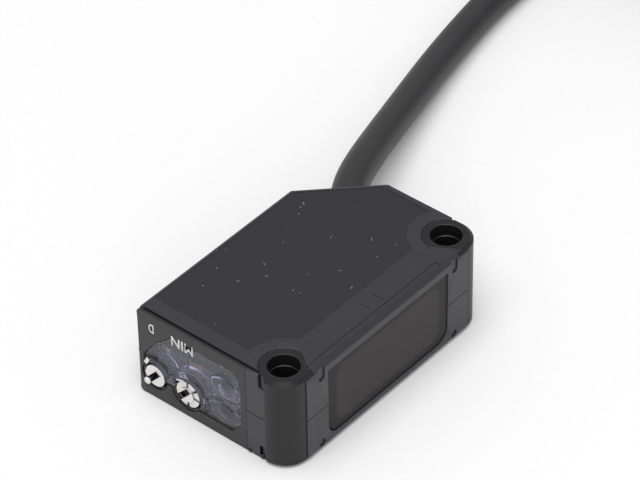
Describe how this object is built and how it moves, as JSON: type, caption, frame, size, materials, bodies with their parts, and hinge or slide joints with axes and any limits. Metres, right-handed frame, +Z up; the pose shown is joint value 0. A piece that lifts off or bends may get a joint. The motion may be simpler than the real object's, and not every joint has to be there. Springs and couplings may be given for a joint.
{
  "type": "photoelectric sensor",
  "caption": "Flat rectangular optical sensor with a smoked front window, round corner posts for screws, an adjuster end with slotted knobs and a cable from its cut corner.",
  "frame": {"origin": "middle of the body's bottom face, which lies on the surface; the free cable is left out of this middle", "axes": "+X along the body from the adjuster end to the cable end, +Y from the lens face to the back, +Z up through the thickness"},
  "size_m": [0.1844, 0.0358, 0.0198],
  "materials": {
    "case_black": "fine moulded texture, slightly glossy",
    "window_smoke": "smooth smoked dark red, clear to infrared",
    "gasket": "matte",
    "lens_clear": "smooth clear plastic",
    "holder_dark": "matte",
    "board_green": "solder mask over laminate",
    "led_red": "clear red resin",
    "silicon": "smooth black resin",
    "shield_metal": "tinned sheet",
    "indicator_clear": "smooth clear plastic",
    "knob_white": "satin off-white",
    "seal_rubber": "matte",
    "adjuster_dark": "matte",
    "components": "ceramic and resin with tinned ends",
    "stability_lamp": "clear resin, unlit",
    "operation_lamp": "clear resin, unlit",
    "clamp_metal": "plain",
    "jacket_black": "matte vinyl",
    "lead_brown": "satin vinyl",
    "lead_black": "satin vinyl",
    "lead_blue": "satin vinyl",
    "tinned_copper": "tinned strands",
    "tie_black": "matte"
  },
  "bodies": {
    "body": {"lower_case": "case_black", "upper_case": "case_black", "right_mounting_sleeve": "case_black", "left_mounting_sleeve": "case_black", "front_window": "window_smoke", "window_gasket": "gasket", "emitter_lens": "lens_clear", "receiver_lens": "lens_clear", "lens_holder": "holder_dark", "optics_board": "board_green", "emitter_led": "led_red", "receiver_photodiode": "silicon", "receiver_shield": "shield_metal", "end_panel": "case_black", "indicator_window": "indicator_clear", "mode_seal": "seal_rubber", "sensitivity_seal": "seal_rubber", "mode_switch_body": "adjuster_dark", "sensitivity_pot_body": "adjuster_dark", "circuit_board": "board_green", "control_chip": "silicon", "board_components": "components", "stability_led": "stability_lamp", "operation_led": "operation_lamp", "cable_bushing": "seal_rubber", "cable_clamp": "clamp_metal", "cable": "jacket_black", "cable_hank": "jacket_black", "hank_tie": "tie_black", "inner_lead_brown": "lead_brown", "inner_lead_black": "lead_black", "inner_lead_blue": "lead_blue", "lead_brown": "lead_brown", "lead_black": "lead_black", "lead_blue": "lead_blue", "lead_tips": "tinned_copper"},
    "mode_knob": {"mode_knob": "knob_white"},
    "sensitivity_knob": {"sensitivity_knob": "knob_white"}
  },
  "joints": [
    {"name": "mode_turn", "type": "hinge", "parent": "body", "child": "mode_knob", "pos_m": [-0.0152, 0.008, 0.0029], "axis": [1, 0, 0], "range_deg": [0, 103]},
    {"name": "sensitivity_turn", "type": "hinge", "parent": "body", "child": "sensitivity_knob", "pos_m": [-0.0152, 0.00372, 0.00275], "axis": [1, 0, 0], "range_deg": [-250, 20]}
  ]
}
